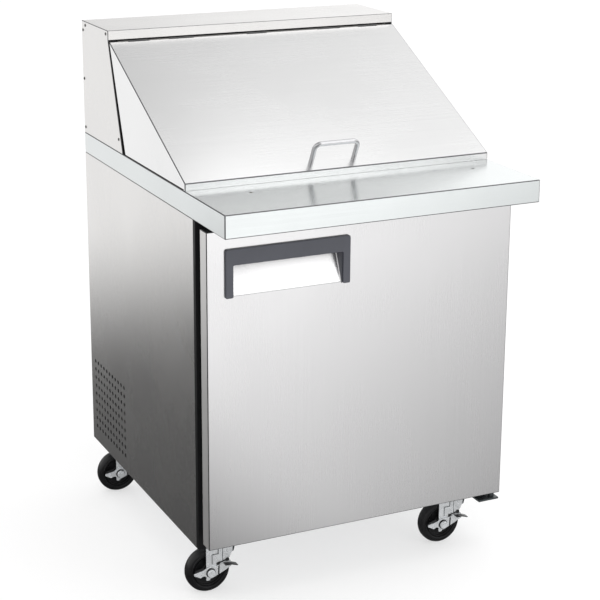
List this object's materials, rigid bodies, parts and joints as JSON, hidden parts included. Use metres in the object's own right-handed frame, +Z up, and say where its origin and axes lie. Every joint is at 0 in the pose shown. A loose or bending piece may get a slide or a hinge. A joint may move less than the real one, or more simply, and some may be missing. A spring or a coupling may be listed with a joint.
{
  "type": "sandwich prep table",
  "caption": "Refrigerated sandwich prep table on swivel casters: stainless cabinet with a hinged door, polished worktop, pan well under a sloping hinged lid and a rear hood.",
  "frame": {"origin": "on the floor under the middle of the table's outline", "axes": "+X to the user's right when facing the door, -Y to the front where the user stands, +Z up"},
  "size_m": [0.7486, 0.864, 1.184],
  "materials": {
    "stainless": "satin",
    "polished_top": "polished",
    "lid_steel": "satin",
    "pan_steel": "satin",
    "liner_metal": "satin",
    "foam": "matte",
    "core_board": "matte",
    "black_plastic": "matte",
    "gasket_rubber": "matte",
    "grey_trim": "satin",
    "chrome_rod": "polished",
    "zinc_steel": "satin",
    "wheel_rubber": "satin",
    "dark_screw": "satin",
    "coil_fin": "satin",
    "black_paint": "satin",
    "white_plastic": "satin",
    "coated_wire": "satin",
    "fan_plastic": "satin"
  },
  "bodies": {
    "root": {"side_panel_left": "stainless", "side_panel_right": "stainless", "back_panel": "stainless", "machine_grille": "stainless", "base_panel": "zinc_steel", "cabinet_insulation": "foam", "cabinet_liner": "liner_metal", "front_frame": "black_plastic", "worktop_skin": "polished_top", "worktop_core": "core_board", "pan_well_frame": "pan_steel", "pan_divider_bars": "pan_steel", "food_pans": "pan_steel", "hood_cover": "stainless", "hood_sides": "stainless", "hood_insulation": "foam", "hood_screws": "dark_screw", "lid_hinge_rod": "dark_screw", "shelf_pilasters": "pan_steel", "shelf_clips": "pan_steel", "wire_shelf": "coated_wire", "evaporator_cover": "white_plastic", "evaporator_coil": "coil_fin", "fan_motors": "black_paint", "compressor": "black_paint", "condenser_coil": "coil_fin", "drain_tray": "white_plastic", "temperature_control": "black_plastic", "power_inlet": "black_plastic", "door_hinge_brackets": "zinc_steel", "caster_plates": "zinc_steel", "caster_bolts": "zinc_steel"},
    "door": {"door_skin": "stainless", "door_liner": "white_plastic", "door_foam": "foam", "door_gasket": "gasket_rubber", "door_handle_trim": "grey_trim", "door_bushings": "white_plastic"},
    "lid": {"lid_shell": "lid_steel", "lid_liner": "liner_metal", "lid_core": "foam", "lid_handle": "chrome_rod"},
    "condenser_fan": {"condenser_fan": "fan_plastic"},
    "evaporator_fan": {"evaporator_fan": "fan_plastic"},
    "caster_front_left": {"caster_fork_front_left": "zinc_steel", "caster_axle_front_left": "zinc_steel"},
    "wheel_front_left": {"caster_wheel_front_left": "wheel_rubber"},
    "brake_front_left": {"caster_brake_front_left": "zinc_steel"},
    "caster_front_right": {"caster_fork_front_right": "zinc_steel", "caster_axle_front_right": "zinc_steel"},
    "wheel_front_right": {"caster_wheel_front_right": "wheel_rubber"},
    "brake_front_right": {"caster_brake_front_right": "zinc_steel"},
    "caster_rear_left": {"caster_fork_rear_left": "zinc_steel", "caster_axle_rear_left": "zinc_steel"},
    "wheel_rear_left": {"caster_wheel_rear_left": "wheel_rubber"},
    "brake_rear_left": {"caster_brake_rear_left": "zinc_steel"},
    "caster_rear_right": {"caster_fork_rear_right": "zinc_steel", "caster_axle_rear_right": "zinc_steel"},
    "wheel_rear_right": {"caster_wheel_rear_right": "wheel_rubber"},
    "brake_rear_right": {"caster_brake_rear_right": "zinc_steel"}
  },
  "joints": [
    {"name": "lid_hinge", "type": "hinge", "parent": "root", "child": "lid", "pos_m": [0, 0.24, 1.157], "axis": [-1, 0, 0], "range_deg": [0, 115]},
    {"name": "door_hinge", "type": "hinge", "parent": "root", "child": "door", "pos_m": [0.35, -0.312, 0.5], "axis": [0, 0, 1], "range_deg": [0, 110], "stiffness_Nm_per_rad": 0.6},
    {"name": "swivel_front_left", "type": "hinge", "parent": "root", "child": "caster_front_left", "pos_m": [-0.295, -0.226, 0.1], "axis": [0, 0, 1], "continuous": true},
    {"name": "spin_front_left", "type": "hinge", "parent": "caster_front_left", "child": "wheel_front_left", "pos_m": [-0.329, -0.226, 0.051], "axis": [0, 1, 0], "continuous": true},
    {"name": "brake_front_left", "type": "hinge", "parent": "caster_front_left", "child": "brake_front_left", "pos_m": [-0.329, -0.226, 0.051], "axis": [0, 1, 0], "range_deg": [0, 12]},
    {"name": "swivel_front_right", "type": "hinge", "parent": "root", "child": "caster_front_right", "pos_m": [0.295, -0.226, 0.1], "axis": [0, 0, 1], "continuous": true},
    {"name": "spin_front_right", "type": "hinge", "parent": "caster_front_right", "child": "wheel_front_right", "pos_m": [0.261, -0.226, 0.051], "axis": [0, 1, 0], "continuous": true},
    {"name": "brake_front_right", "type": "hinge", "parent": "caster_front_right", "child": "brake_front_right", "pos_m": [0.261, -0.226, 0.051], "axis": [0, 1, 0], "range_deg": [0, 12]},
    {"name": "swivel_rear_left", "type": "hinge", "parent": "root", "child": "caster_rear_left", "pos_m": [-0.295, 0.368, 0.1], "axis": [0, 0, 1], "continuous": true},
    {"name": "spin_rear_left", "type": "hinge", "parent": "caster_rear_left", "child": "wheel_rear_left", "pos_m": [-0.329, 0.368, 0.051], "axis": [0, 1, 0], "continuous": true},
    {"name": "brake_rear_left", "type": "hinge", "parent": "caster_rear_left", "child": "brake_rear_left", "pos_m": [-0.329, 0.368, 0.051], "axis": [0, 1, 0], "range_deg": [0, 12]},
    {"name": "swivel_rear_right", "type": "hinge", "parent": "root", "child": "caster_rear_right", "pos_m": [0.295, 0.368, 0.1], "axis": [0, 0, 1], "continuous": true},
    {"name": "spin_rear_right", "type": "hinge", "parent": "caster_rear_right", "child": "wheel_rear_right", "pos_m": [0.261, 0.368, 0.051], "axis": [0, 1, 0], "continuous": true},
    {"name": "brake_rear_right", "type": "hinge", "parent": "caster_rear_right", "child": "brake_rear_right", "pos_m": [0.261, 0.368, 0.051], "axis": [0, 1, 0], "range_deg": [0, 12]},
    {"name": "evaporator_fan_spin", "type": "hinge", "parent": "root", "child": "evaporator_fan", "pos_m": [-0.11, 0.288, 0.638], "axis": [0, 1, 0], "continuous": true},
    {"name": "condenser_fan_spin", "type": "hinge", "parent": "root", "child": "condenser_fan", "pos_m": [0.15, 0.295, 0.255], "axis": [0, 1, 0], "continuous": true}
  ]
}
